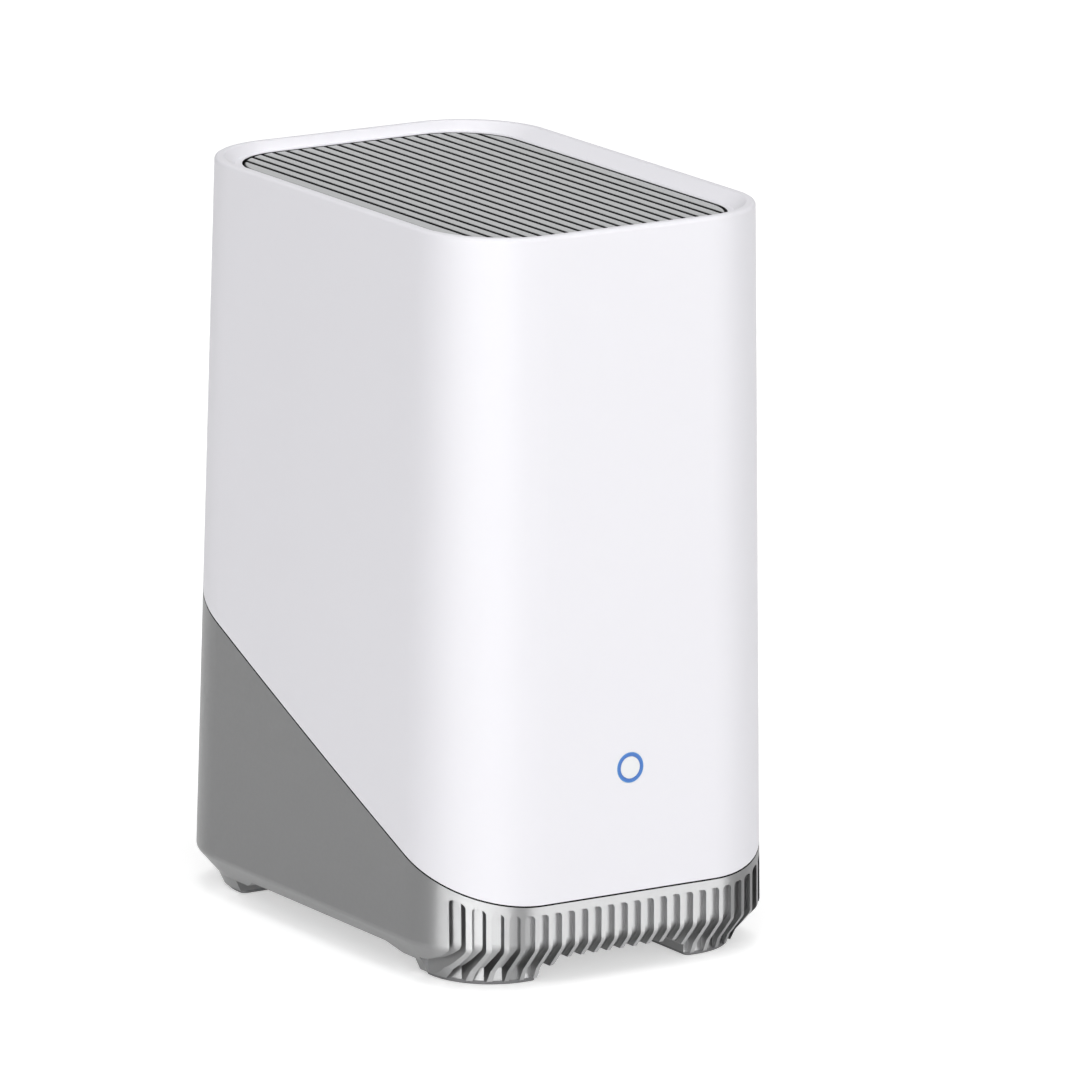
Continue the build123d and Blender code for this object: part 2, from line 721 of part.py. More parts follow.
with BuildPart() as drive_tray:
    with BuildSketch(Plane.XZ.offset(-bezel_back)):
        with Locations((0, drive_centre)):
            RectangleRounded(bezel_width, bezel_height, bezel_round)
    extrude(amount=-2 * overrun)
    body_block(drive_centre - bezel_height, body_height, 0, 0, Mode.INTERSECT)
    pull_height_at = drive_centre - pull_drop
    with BuildSketch(Plane.XZ.offset(pull_depth - half_depth(pull_height_at))):
        with Locations((0, pull_height_at)):
            RectangleRounded(pull_width, pull_height, pull_round)
    extrude(amount=-pull_depth - overrun, mode=Mode.SUBTRACT)
    with BuildSketch(Plane.XZ.offset(-tray_front)):
        with Locations((0, drive_centre)):
            Rectangle(2 * tray_half_width, 2 * tray_half_height)
        with Locations((tray_plate, drive_centre)):
            Rectangle(2 * tray_half_width, 2 * (tray_half_height - tray_lip), mode=Mode.SUBTRACT)
    extrude(amount=tray_front - bezel_back)
    with BuildSketch(Plane.YZ.offset(-tray_half_width)):
        with Locations(((drive_hole_near + drive_hole_far) / 2 + drive_edge, drive_centre)):
            with GridLocations(0, tray_slot_pitch, 1, tray_slots):
                SlotOverall(tray_slot_length, tray_slot_width)
    extrude(amount=tray_plate, mode=Mode.SUBTRACT)
    for along in (drive_hole_near, drive_hole_far):
        for side in sides:
            place = (-tray_half_width, drive_edge + along, drive_centre + side * drive_hole_rise)
            with Locations(Plane(place, z_dir=(-1, 0, 0))):
                Hole(drive_hole_radius, depth=tray_plate)
keep(drive_tray.part, "drive_tray")


# Main board and what stands on it
board_half_width = 35.0
board_front_edge = -56.0
board_rear_edge = 70.0
board_round = 3.0
processor_size = 16.0
processor_height = 1.6
pad_size = 18.0
pad_height = 0.5
sink_size = 40.0
sink_base = 2.5
sink_height = 17.3
sink_fins = 9
sink_fin = 1.6
sink_fin_pitch = 4.7
sink_pin_place = 17.0
sink_pin_radius = 1.4
sink_pin_head_radius = 2.6
sink_pin_head = 1.2
sink_pin_tip_radius = 1.9
sink_pin_tip = 1.6
sink_pin_clear = 3.2
sink_low = board_top + processor_height + pad_height
sink_pin_places = ((-sink_pin_place, -sink_pin_place), (sink_pin_place, sink_pin_place))

with BuildPart() as main_board:
    with BuildSketch(Plane.XY.offset(board_low)):
        with Locations((0, (board_front_edge + board_rear_edge) / 2)):
            RectangleRounded(2 * board_half_width, board_rear_edge - board_front_edge, board_round)
        with Locations(*[(x * standoff_x, y * standoff_y) for x, y in corners]):
            Circle(board_screw_radius + fit_gap, mode=Mode.SUBTRACT)
        with Locations(*sink_pin_places):
            Circle(sink_pin_radius + fit_gap, mode=Mode.SUBTRACT)
    extrude(amount=board_thickness)
keep(main_board.part, "main_board")

board_screw_head_radius = 2.1
board_screw_head_height = 1.3
with BuildPart() as board_screws:
    with Locations(*places_at(board_top, standoff_x, standoff_y)):
        screw(board_screw_head_radius, board_screw_head_height, board_screw_radius, board_screw_length)
keep(board_screws.part, "board_screws")

with BuildPart() as processor:
    with Locations((0, 0, board_top)):
        Box(processor_size, processor_size, processor_height, align=centre_low)
keep(processor.part, "processor")

with BuildPart() as thermal_pad:
    with Locations((0, 0, board_top + processor_height)):
        Box(pad_size, pad_size, pad_height, align=centre_low)
keep(thermal_pad.part, "thermal_pad")

with BuildPart() as heat_sink:
    with Locations((0, 0, sink_low)):
        Box(sink_size, sink_size, sink_base, align=centre_low)
        with GridLocations(sink_fin_pitch, 0, sink_fins, 1):
            Box(sink_fin, sink_size, sink_height, align=centre_low)
    with Locations(*[(x, y, sink_low + sink_base) for x, y in sink_pin_places]):
        Cylinder(sink_pin_clear, sink_height, align=centre_low, mode=Mode.SUBTRACT)
        Hole(sink_pin_radius + fit_gap, depth=sink_base)
keep(heat_sink.part, "heat_sink")

with BuildPart() as heat_sink_pins:
    for x, y in sink_pin_places:
        with Locations((x, y, sink_low + sink_base)):
            Cylinder(sink_pin_head_radius, sink_pin_head, align=centre_low)
            Cylinder(sink_pin_radius, sink_low + sink_base - board_low + sink_pin_tip, align=centre_high)
        with Locations((x, y, board_low)):
            Cylinder(sink_pin_tip_radius, sink_pin_tip, align=centre_high)
keep(heat_sink_pins.part, "heat_sink_pins")

shield_place = (14.0, 34.0)
shield_width = 22.0
shield_depth = 18.0
shield_height = 3.0
shield_round = 0.6
with BuildPart() as radio_shield:
    with Locations((shield_place[0], shield_place[1], board_top)):
        Box(shield_width, shield_depth, shield_height, align=centre_low)
    fillet(radio_shield.faces().sort_by(Axis.Z)[-1].edges(), shield_round)
keep(radio_shield.part, "radio_shield")

chip_x = 26.0
chip_width = 9.0
chip_depth = 13.0
chip_height = 1.1
with BuildPart() as memory_chips:
    with Locations(*[(x * chip_x, 0, board_top) for x in sides]):
        Box(chip_width, chip_depth, chip_height, align=centre_low)
keep(memory_chips.part, "memory_chips")

coil_place = (-15.0, 44.0)
coil_pitch = 9.0
coil_size = 7.0
coil_height = 4.0
coil_round = 1.5
with BuildPart() as power_coils:
    with BuildSketch(Plane.XY.offset(board_top)):
        with Locations(coil_place):
            with GridLocations(coil_pitch, 0, 3, 1):
                RectangleRounded(coil_size, coil_size, coil_round)
    extrude(amount=coil_height)
keep(power_coils.part, "power_coils")

capacitor_place = (-16.0, 30.0)
capacitor_pitch = 8.0
capacitor_radius = 3.1
capacitor_height = 8.0
capacitor_round = 0.5
with BuildPart() as capacitors:
    with Locations((capacitor_place[0], capacitor_place[1], board_top)):
        with GridLocations(capacitor_pitch, 0, 3, 1):
            Cylinder(capacitor_radius, capacitor_height, align=centre_low)
    fillet(capacitors.edges().group_by(Axis.Z)[-1], capacitor_round)
keep(capacitors.part, "capacitors")


# Sockets at the rear edge of the board
port_face = 74.2
network_x = -6.5
network_width = 16.0
network_depth = 21.3
network_height = 13.5
socket_width = 11.9
socket_height = 6.9
socket_depth = 14.0
socket_rise = 2.2
latch_width = 6.2
latch_height = 2.6
contact_width = 0.45
contact_pitch = 1.02
contact_count = 8
contact_length = 9.0
contact_rise = 2.0
contact_thickness = 0.35
usb_x = 11.0
usb_width = 13.5
usb_depth = 14.0
usb_height = 6.1
usb_wall = 0.5
usb_back = 3.0
usb_tongue_width = 11.1
usb_tongue_thickness = 1.9
usb_tongue_drop = 0.7
usb_tongue_recess = 1.0
jack_x = -21.0
jack_width = 9.0
jack_depth = 14.0
jack_height = 11.0
jack_rise = 6.2
jack_hole_radius = 3.0
jack_hole_depth = 9.5
jack_pin_radius = 1.05
jack_pin_recess = 1.0
jack_round = 1.0
socket_low = board_top + socket_rise

with BuildPart() as network_port:
    with Locations((network_x, port_face, board_top)):
        Box(network_width, network_depth, network_height, align=(Align.CENTER, Align.MAX, Align.MIN))
    with BuildSketch(Plane.XZ.offset(-port_face)):
        with Locations((network_x, socket_low)):
            Rectangle(socket_width, socket_height, align=(Align.CENTER, Align.MIN))
            Rectangle(latch_width, socket_height + latch_height, align=(Align.CENTER, Align.MIN))
    extrude(amount=socket_depth, mode=Mode.SUBTRACT)
keep(network_port.part, "network_port")

with BuildPart() as network_contacts:
    socket_end = port_face - socket_depth
    for count in range(contact_count):
        contact_x = network_x + (count - (contact_count - 1) / 2) * contact_pitch
        with BuildSketch(Plane.YZ.offset(contact_x)):
            with BuildLine():
                Polyline(
                    (socket_end, socket_low),
                    (socket_end + contact_length, socket_low),
                    (socket_end + contact_length, socket_low + contact_thickness),
                    (socket_end, socket_low + contact_rise),
                    close=True,
                )
            make_face()
        extrude(amount=contact_width / 2, both=True)
keep(network_contacts.part, "network_contacts")

with BuildPart() as usb_port:
    with Locations((usb_x, port_face, board_top)):
        Box(usb_width, usb_depth, usb_height, align=(Align.CENTER, Align.MAX, Align.MIN))
    with Locations((usb_x, port_face, board_top + usb_wall)):
        usb_opening = (usb_width - 2 * usb_wall, usb_depth - usb_wall, usb_height - 2 * usb_wall)
        Box(*usb_opening, align=(Align.CENTER, Align.MAX, Align.MIN), mode=Mode.SUBTRACT)
keep(usb_port.part, "usb_port")

with BuildPart() as usb_tongue:
    with Locations((usb_x, port_face - usb_depth + usb_wall, board_top + usb_wall)):
        usb_block = (usb_width - 2 * usb_wall, usb_back, usb_height - 2 * usb_wall)
        Box(*usb_block, align=(Align.CENTER, Align.MIN, Align.MIN))
    with Locations((usb_x, port_face - usb_tongue_recess, board_top + usb_height - usb_wall - usb_tongue_drop)):
        tongue_length = usb_depth - usb_wall - usb_tongue_recess
        Box(
            usb_tongue_width,
            tongue_length,
            usb_tongue_thickness,
            align=(Align.CENTER, Align.MAX, Align.MAX),
        )
keep(usb_tongue.part, "usb_tongue")

with BuildPart() as power_jack:
    with Locations((jack_x, port_face, board_top)):
        Box(jack_width, jack_depth, jack_height, align=(Align.CENTER, Align.MAX, Align.MIN))
    fillet(power_jack.faces().sort_by(Axis.Z)[-1].edges().filter_by(Axis.Y), jack_round)
    with Locations(Plane((jack_x, port_face, board_top + jack_rise), z_dir=facing_rear)):
        Hole(jack_hole_radius, depth=jack_hole_depth)
keep(power_jack.part, "power_jack")

with BuildPart() as jack_pin:
    with Locations(Plane((jack_x, port_face - jack_hole_depth, board_top + jack_rise), z_dir=facing_rear)):
        Cylinder(jack_pin_radius, jack_hole_depth - jack_pin_recess, align=centre_low)
    fillet(jack_pin.edges().sort_by(Axis.Y)[-1], jack_pin_radius / 3)
keep(jack_pin.part, "jack_pin")


# Sync button: a stopped plunger that works a small switch on the board
button_x = 22.8
button_height = 22.3
button_radius = 3.2
button_face = 75.0
button_back = 66.2
button_round = 0.4
button_stop_radius = 4.2
button_stop_face = 71.1
button_stop = 1.0
button_gap = 0.3
plunger_radius = 1.72
plunger_length = 5.0
switch_width = 6.0
switch_depth = 6.0
switch_face = 64.0
switch_height = 8.6
switch_bore_depth = 4.0

with BuildPart() as sync_button:
    with Locations(Plane((button_x, button_back, button_height), z_dir=facing_rear)):
        Cylinder(button_radius, button_face - button_back, align=centre_low)
    with Locations(Plane((button_x, button_stop_face, button_height), z_dir=facing_rear)):
        Cylinder(button_stop_radius, button_stop, align=centre_high)
    fillet(sync_button.edges().sort_by(Axis.Y)[-1], button_round)
keep(sync_button.part, "sync_button")

with BuildPart() as switch_plunger:
    with Locations(Plane((button_x, button_back, button_height), z_dir=facing_rear)):
        Cylinder(plunger_radius, plunger_length, align=centre_high)
keep(switch_plunger.part, "switch_plunger")

with BuildPart() as switch_body:
    with Locations((button_x, switch_face, board_top)):
        Box(switch_width, switch_depth, switch_height, align=(Align.CENTER, Align.MAX, Align.MIN))
    with Locations(Plane((button_x, switch_face, button_height), z_dir=facing_rear)):
        Hole(plunger_radius + fit_gap, depth=switch_bore_depth)
keep(switch_body.part, "switch_body")


# Rear panel: recessed plate in the housing's opening, with a flange against the inside of the wall
panel_recess = 0.8
panel_flange = 1.2
panel_margin = 2.0
panel_gap = 0.3
panel_high = port_opening_centre + port_opening_height
panel_inset = housing_wall + fit_gap
panel_start = -base_half_depth + 3 * housing_wall


def panel_shape(margin, outer_inset):
    """A rounded block in the port opening, grown by margin, between two faces of the wall."""
    with BuildPart() as shape:
        with BuildSketch(Plane.XZ.offset(panel_start)):
            with Locations((0, port_opening_centre)):
                RectangleRounded(
                    port_opening_width + 2 * margin,
                    port_opening_height + 2 * margin,
                    port_opening_round + margin,
                )
        extrude(amount=panel_start - overrun)
        inner_inset = panel_inset + panel_flange
        body_block(0, 2 * panel_high, outer_inset, outer_inset, Mode.INTERSECT)
        body_block(0, 2 * panel_high, inner_inset, inner_inset, Mode.SUBTRACT)
    return shape.part


with BuildPart() as rear_panel:
    add(panel_shape(-rest_gap, panel_recess))
    add(panel_shape(panel_margin, panel_inset))
    with BuildSketch(Plane.XZ.offset(panel_start)):
        with Locations((network_x, board_top - panel_gap)):
            Rectangle(
                network_width + 2 * panel_gap,
                network_height + 2 * panel_gap,
                align=(Align.CENTER, Align.MIN),
            )
        with Locations((usb_x, board_top - panel_gap)):
            Rectangle(usb_width + 2 * panel_gap, usb_height + 2 * panel_gap, align=(Align.CENTER, Align.MIN))
        with Locations((jack_x, board_top - panel_gap)):
            Rectangle(jack_width + 2 * panel_gap, jack_height + 2 * panel_gap, align=(Align.CENTER, Align.MIN))
        with Locations((button_x, button_height)):
            Circle(button_radius + button_gap)
    extrude(amount=panel_start - overrun, mode=Mode.SUBTRACT)
keep(rear_panel.part, "rear_panel")


# Indicator light: ring and cap flush with the shell, a baffle behind them, and a small board
ring_flange_radius = 5.0
ring_flange = 0.9
ring_flange_face = 72.2
ring_back = 66.0
cap_back = 70.0
baffle_inner_radius = 5.2
baffle_outer_radius = 6.5
baffle_face = 71.9
light_board_width = 24.0
light_board_height = 16.0
light_board_thickness = 1.2
light_board_round = 2.0
led_count = 6
led_circle_radius = 3.6
led_size = 1.4
led_height = 0.7
led_screw_head_radius = 1.9
led_screw_head_height = 1.2
facing_front = (0, -1, 0)
light_board_back = light_board_face - light_board_thickness

with BuildPart() as light_ring:
    with Locations(Plane((0, -ring_back, ring_height), z_dir=facing_front)):
        Cylinder(ring_radius, base_half_depth - ring_back, align=centre_low)
    with Locations(Plane((0, -ring_flange_face, ring_height), z_dir=facing_front)):
        Cylinder(ring_flange_radius, ring_flange, align=centre_high)
    with Locations(Plane((0, -ring_back, ring_height), z_dir=facing_front)):
        Cylinder(ring_radius - ring_band, base_half_depth, align=centre_low, mode=Mode.SUBTRACT)
    body_block(seam_front_height, seam_rear_height, 0, 0, Mode.INTERSECT)
keep(light_ring.part, "light_ring")

with BuildPart() as ring_cap:
    with Locations(Plane((0, -cap_back, ring_height), z_dir=facing_front)):
        Cylinder(ring_radius - ring_band - fit_gap, base_half_depth - cap_back, align=centre_low)
    body_block(seam_front_height, seam_rear_height, 0, 0, Mode.INTERSECT)
keep(ring_cap.part, "ring_cap")

with BuildPart() as light_baffle:
    with Locations(Plane((0, -light_board_face, ring_height), z_dir=facing_front)):
        Cylinder(baffle_outer_radius, baffle_face - light_board_face, align=centre_low)
        Cylinder(baffle_inner_radius, baffle_face, mode=Mode.SUBTRACT)
keep(light_baffle.part, "light_baffle")

with BuildPart() as led_board:
    with BuildSketch(Plane.XZ.offset(light_board_back)):
        with Locations((0, ring_height)):
            RectangleRounded(light_board_width, light_board_height, light_board_round)
            with GridLocations(2 * light_boss_x, 0, 2, 1):
                Circle(led_screw_radius + fit_gap, mode=Mode.SUBTRACT)
    extrude(amount=light_board_thickness)
keep(led_board.part, "led_board")

with BuildPart() as led_chips:
    with Locations(Plane((0, -light_board_face, ring_height), z_dir=facing_front)):
        with PolarLocations(led_circle_radius, led_count):
            Box(led_size, led_size, led_height, align=centre_low)
keep(led_chips.part, "led_chips")

with BuildPart() as led_screws:
    with Locations(*[Plane((x * light_boss_x, -light_board_back, ring_height), z_dir=facing_rear) for x in sides]):
        screw(led_screw_head_radius, led_screw_head_height, led_screw_radius, led_screw_length)
keep(led_screws.part, "led_screws")


# Fan on the deck under the grille
fan_round = 4.0
fan_plate = 1.6
fan_plate_radius = 11.0
fan_strut = 3.0
fan_strut_overlap = 1.0
fan_bore_clear = 3.3
fan_screw_head_radius = 2.8
fan_screw_head_height = 1.8
fan_motor_radius = 9.5
fan_motor_height = 9.0
fan_shaft_radius = 1.5
fan_shaft_depth = 6.5
hub_radius = 12.0
hub_wall = 1.6
hub_gap = 1.2
hub_height = 10.2
blade_count = 7
blade_root = 10.9
blade_tip = 27.0
blade_chord = 13.5
blade_thickness = 1.2
blade_pitch_degrees = 35
motor_low = deck_top + fan_plate
hub_low = motor_low + hub_gap
hub_top = hub_low + hub_height

with BuildPart() as fan_frame:
    with BuildSketch(Plane.XY.offset(deck_top)):
        with Locations((0, fan_y)):
            RectangleRounded(fan_size, fan_size, fan_round)
            Circle(fan_bore_radius, mode=Mode.SUBTRACT)
    extrude(amount=fan_height)
    with BuildSketch(Plane.XY.offset(deck_top)):
        with Locations((0, fan_y)):
            Circle(fan_plate_radius)
            Rectangle(2 * (fan_bore_radius + fan_strut_overlap), fan_strut, rotation=45)
            Rectangle(2 * (fan_bore_radius + fan_strut_overlap), fan_strut, rotation=-45)
    extrude(amount=fan_plate)
    with Locations((0, fan_y, deck_top + fan_height)):
        with GridLocations(2 * fan_hole_half_spacing, 2 * fan_hole_half_spacing, 2, 2):
            CounterBoreHole(
                fan_screw_radius + fit_gap,
                fan_bore_clear,
                fan_height - fan_flange,
                depth=fan_height,
            )
keep(fan_frame.part, "fan_frame")

with BuildPart() as fan_screws:
    with Locations((0, fan_y, deck_top + fan_flange)):
        with GridLocations(2 * fan_hole_half_spacing, 2 * fan_hole_half_spacing, 2, 2):
            screw(fan_screw_head_radius, fan_screw_head_height, fan_screw_radius, fan_flange + deck_thickness)
keep(fan_screws.part, "fan_screws")

with BuildPart() as fan_motor:
    with Locations((0, fan_y, motor_low)):
        Cylinder(fan_motor_radius, fan_motor_height, align=centre_low)
    with Locations((0, fan_y, motor_low + fan_motor_height)):
        Hole(fan_shaft_radius + fit_gap, depth=fan_shaft_depth + hub_gap)
keep(fan_motor.part, "fan_motor")

with BuildPart() as fan_rotor:
    with Locations((0, fan_y, hub_low)):
        Cylinder(hub_radius, hub_height, align=centre_low)
        Cylinder(hub_radius - hub_wall, hub_height - hub_wall, align=centre_low, mode=Mode.SUBTRACT)
    fillet(fan_rotor.edges().group_by(Axis.Z)[-1], hub_wall / 2)
    with Locations((0, fan_y, hub_top - hub_wall / 2)):
        Cylinder(fan_shaft_radius, fan_shaft_depth + hub_wall / 2, align=centre_high)
    with Locations((0, fan_y, (hub_low + hub_top) / 2)):
        with PolarLocations((blade_root + blade_tip) / 2, blade_count):
            Box(blade_tip - blade_root, blade_chord, blade_thickness, rotation=(blade_pitch_degrees, 0, 0))
keep(fan_rotor.part, "fan_rotor")


# Siren speaker on the deck
siren_y = -36.0
siren_radius = 22.0
siren_wall = 1.5
siren_height = 14.4
siren_floor = 1.6
siren_step = 1.1
siren_seat_drop = 1.8
cone_ring = 0.8
cone_gap = 0.1
cone_inner_radius = 6.0
cone_fall = 4.0
cone_thickness = 0.9
cap_rise = 1.2
magnet_radius = 9.0
magnet_height = 6.0
siren_seat = deck_top + siren_height - siren_seat_drop
seat_radius = siren_radius - siren_wall - siren_step

with BuildPart() as siren_basket:
    with Locations((0, siren_y, deck_top)):
        Cylinder(siren_radius, siren_height, align=centre_low)
    with Locations((0, siren_y, deck_top + siren_floor)):
        Cylinder(seat_radius, siren_height, align=centre_low, mode=Mode.SUBTRACT)
    with Locations((0, siren_y, siren_seat)):
        Cylinder(siren_radius - siren_wall, siren_height, align=centre_low, mode=Mode.SUBTRACT)
keep(siren_basket.part, "siren_basket")

with BuildPart() as siren_cone:
    with BuildSketch(Plane.XZ.offset(-siren_y)):
        with BuildLine():
            outer_radius = siren_radius - siren_wall - cone_gap
            Polyline(
                (0, siren_seat - cone_fall),
                (cone_inner_radius, siren_seat - cone_fall),
                (seat_radius - siren_step, siren_seat),
                (outer_radius, siren_seat),
                (outer_radius, siren_seat + cone_ring),
                (seat_radius - siren_step, siren_seat + cone_ring),
                (cone_inner_radius, siren_seat - cone_fall + cone_thickness),
                (0, siren_seat - cone_fall + cone_thickness + cap_rise),
                close=True,
            )
        make_face()
    revolve(axis=Axis((0, siren_y, 0), (0, 0, 1)))
keep(siren_cone.part, "siren_cone")

with BuildPart() as siren_magnet:
    with Locations((0, siren_y, deck_top + siren_floor)):
        Cylinder(magnet_radius, magnet_height, align=centre_low)
keep(siren_magnet.part, "siren_magnet")


# Antennas on the side plates
antenna_thickness = 0.8
antenna_width = 10.0
antenna_length = 40.0
sensor_length = 42.0
plate_outer_x = plate_inner_x + plate_thickness


def antenna(x, y, length):
    """A flat antenna on the outside of a side plate."""
    align = (Align.MIN if x > 0 else Align.MAX, Align.CENTER, Align.MIN)
    with BuildPart() as strip:
        with Locations((x, y, antenna_low)):
            Box(antenna_thickness, antenna_width, length, align=align)
    return strip.part


keep(antenna(-plate_outer_x, -antenna_y, antenna_length), "wifi_antenna_left")
keep(antenna(plate_outer_x, -antenna_y, antenna_length), "wifi_antenna_right")
keep(antenna(plate_outer_x, antenna_y, sensor_length), "sensor_antenna")


# Leads and the flat cable, each ending on a header on the board
header_height = 2.4
coax_radius = 0.6
coax_bend = 3.0
coax_turn_height = 24.7
coax_inner_x = 42.0
coax_board_x = 26.0
coax_socket_radius = 1.4
lead_radius = 0.8
lead_bend = 2.0
lead_rise = 6.0
lead_header_x = 32.0
lead_turn_height = 22.7
header_width = 5.0
header_depth = 4.0
led_lead_drop = 5.0
led_lead_y = -58.8
led_header_y = -53.0
led_lead_turn = 21.6
ribbon_rise = 28.0
ribbon_y = -41.5
ribbon_width = 10.0
ribbon_thickness = 0.6
ribbon_bend = 2.0
ribbon_header_width = 12.0
ribbon_header_depth = 3.4
header_top = board_top + header_height
coax_hole_height = antenna_low - antenna_hole_drop
coax_places = ((-1, -antenna_y), (1, -antenna_y), (1, antenna_y))
lead_headers = ((lead_header_x, lead_y), (-lead_header_x, siren_lead_y))


def cable(points, radius, bend):
    """A round lead through points, with its corners bent."""
    with BuildPart() as lead:
        with BuildLine() as path:
            FilletPolyline(*points, radius=bend)
        with BuildSketch(Plane(origin=path.line @ 0, z_dir=path.line % 0)):
            Circle(radius)
        sweep()
    return lead.part


with BuildPart() as board_headers:
    with Locations(*[(side * coax_board_x, y, board_top) for side, y in coax_places]):
        Cylinder(coax_socket_radius, header_height, align=centre_low)
    with Locations(*[(x, y, board_top) for x, y in lead_headers]):
        Box(header_width, header_depth, header_height, align=centre_low)
    with Locations((0, led_header_y, board_top)):
        Box(header_width, header_depth, header_height, align=centre_low)
    with Locations((0, ribbon_y, board_top)):
        Box(ribbon_header_width, ribbon_header_depth, header_height, align=centre_low)
keep(board_headers.part, "board_headers")

with BuildPart() as antenna_leads:
    for side, y in coax_places:
        lead_points = (
            (side * plate_outer_x, y, coax_hole_height),
            (side * coax_inner_x, y, coax_hole_height),
            (side * coax_inner_x, y, coax_turn_height),
            (side * coax_board_x, y, coax_turn_height),
            (side * coax_board_x, y, header_top),
        )
        add(cable(lead_points, coax_radius, coax_bend))
keep(antenna_leads.part, "antenna_leads")

fan_lead_points = (
    (fan_size / 2, lead_y, deck_top + lead_rise),
    (lead_x, lead_y, deck_top + lead_rise),
    (lead_x, lead_y, lead_turn_height),
    (lead_header_x, lead_y, lead_turn_height),
    (lead_header_x, lead_y, header_top),
)
keep(cable(fan_lead_points, lead_radius, lead_bend / 2), "fan_lead")

siren_reach = math.sqrt(siren_radius**2 - (siren_lead_y - siren_y - lead_radius) ** 2)
siren_lead_points = (
    (-siren_reach, siren_lead_y, deck_top + lead_rise),
    (-lead_x, siren_lead_y, deck_top + lead_rise),
    (-lead_x, siren_lead_y, lead_turn_height),
    (-lead_header_x, siren_lead_y, lead_turn_height),
    (-lead_header_x, siren_lead_y, header_top),
)
keep(cable(siren_lead_points, lead_radius, lead_bend / 2), "siren_lead")

led_lead_points = (
    (0, -light_board_back, ring_height - led_lead_drop),
    (0, led_lead_y, ring_height - led_lead_drop),
    (0, led_lead_y, led_lead_turn),
    (0, led_header_y, led_lead_turn),
    (0, led_header_y, header_top),
)
keep(cable(led_lead_points, lead_radius, lead_bend / 2), "led_lead")

with BuildPart() as drive_ribbon:
    with BuildSketch(Plane.YZ):
        with BuildLine() as ribbon_path:
            FilletPolyline(
                (board_front, drive_centre - ribbon_rise),
                (ribbon_y, drive_centre - ribbon_rise),
                (ribbon_y, header_top),
                radius=ribbon_bend,
            )
        trace(ribbon_path.edges(), line_width=ribbon_thickness)
    extrude(amount=ribbon_width / 2, both=True)
keep(drive_ribbon.part, "drive_ribbon")


os.makedirs("parts", exist_ok=True)
for piece in pieces:
    export_step(piece, f"parts/{piece.label}.step")
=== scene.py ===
import json
import math

import bmesh
import bpy
from mathutils import Matrix, Vector

# A white and grey home security base station on a pale studio floor.
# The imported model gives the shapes, and this script gives the finishes, the light and
# the camera. Lengths are metres, angles degrees, the lens and its sensor millimetres,
# and the power of a light watts.
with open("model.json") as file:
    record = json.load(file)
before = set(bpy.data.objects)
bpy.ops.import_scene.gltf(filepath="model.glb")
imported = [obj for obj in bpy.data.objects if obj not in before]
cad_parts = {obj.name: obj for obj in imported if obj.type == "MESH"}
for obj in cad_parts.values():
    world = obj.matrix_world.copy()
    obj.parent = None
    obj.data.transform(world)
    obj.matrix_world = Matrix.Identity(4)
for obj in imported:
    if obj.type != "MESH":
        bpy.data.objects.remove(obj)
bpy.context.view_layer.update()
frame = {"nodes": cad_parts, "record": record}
nodes = frame["nodes"]

# Camera, fitted to the photograph
camera_azimuth = -33.0
camera_elevation = 13.51
camera_roll = 0.67
camera_distance = 3.217
camera_lens = 400.0
camera_sensor = 36.0
camera_target = Vector((0.0, 0.0, 0.1022))
camera_shift_right = 0.01632
camera_shift_up = 0.0007

# Light ring: the height of its middle, the radii between which it shows, and its light
ring_height = 0.0568
ring_inner = 0.00305
ring_outer = 0.0041
ring_deep = (0.025, 0.13, 0.43)
ring_pale = (0.08, 0.30, 0.58)
ring_pale_share = 0.75
ring_glow = 0.2
ring_roughness = 0.35

# Grille: the level of its face, and the round corners of the opening that it lies in
box_high_corner = 6
grille_box = nodes["top_grille"].bound_box
grille_reach_x, grille_reach_y, grille_level = grille_box[box_high_corner]
grille_corner = 0.018
grille_gap = 0.00045
opening_centre = (grille_reach_x - grille_corner, grille_reach_y - grille_corner, 0.0)
opening_radius = grille_corner + grille_gap

# Deep shade: it grows between two depths under the grille's face, on the shell only
# between two distances from the opening's wall, and on the housing between two slopes
shade_colour = (0.006, 0.006, 0.006)
shade_depths = (0.00005, 0.0002)
shade_distances = (0.0005, 0.0001)
shade_slopes = (0.4, 0.6)

# Finishes: the broad mottling and the fine grain that they share
mottle_scale = 35.0
mottle_detail = 3.0
grain_detail = 2.0
grain_height = 0.0001
roughness_change = 0.1

# Floor: near the object it is lifted less toward white, so that the soft shadow stays
floor_reach = 6.0
floor_colours = ((0.84, 0.84, 0.84), (0.86, 0.86, 0.86))
floor_mottle_scale = 2.0
floor_mottle_detail = 2.0
floor_roughness = 0.9
floor_shine = 0.1
lift_distances = (0.15, 0.8)
lift_levels = (0.44, 0.62)

# Even white light from all sides
studio_white = (1.0, 1.0, 1.0, 1.0)
studio_strength = 0.32


def link(tree, source, target):
    tree.links.new(source, target)


def new_material(name):
    """A material, with its node tree, its shader and a coordinate node."""
    material = bpy.data.materials.new(name)
    material.use_nodes = True
    tree = material.node_tree
    shader = tree.nodes["Principled BSDF"]
    where = tree.nodes.new("ShaderNodeTexCoord")
    return material, tree, shader, where


def noise(tree, where, scale, detail):
    """A noise from 0 to 1 over the object's own coordinates."""
    texture = tree.nodes.new("ShaderNodeTexNoise")
    texture.inputs["Scale"].default_value = scale
    texture.inputs["Detail"].default_value = detail
    link(tree, where.outputs["Object"], texture.inputs["Vector"])
    return texture.outputs["Fac"]


def ranged(tree, source, start, end, low=0.0, high=1.0):
    """A number that goes from low to high as its source goes from start to end."""
    mapped = tree.nodes.new("ShaderNodeMapRange")
    mapped.inputs["From Min"].default_value = start
    mapped.inputs["From Max"].default_value = end
    mapped.inputs["To Min"].default_value = low
    mapped.inputs["To Max"].default_value = high
    link(tree, source, mapped.inputs["Value"])
    return mapped.outputs["Result"]


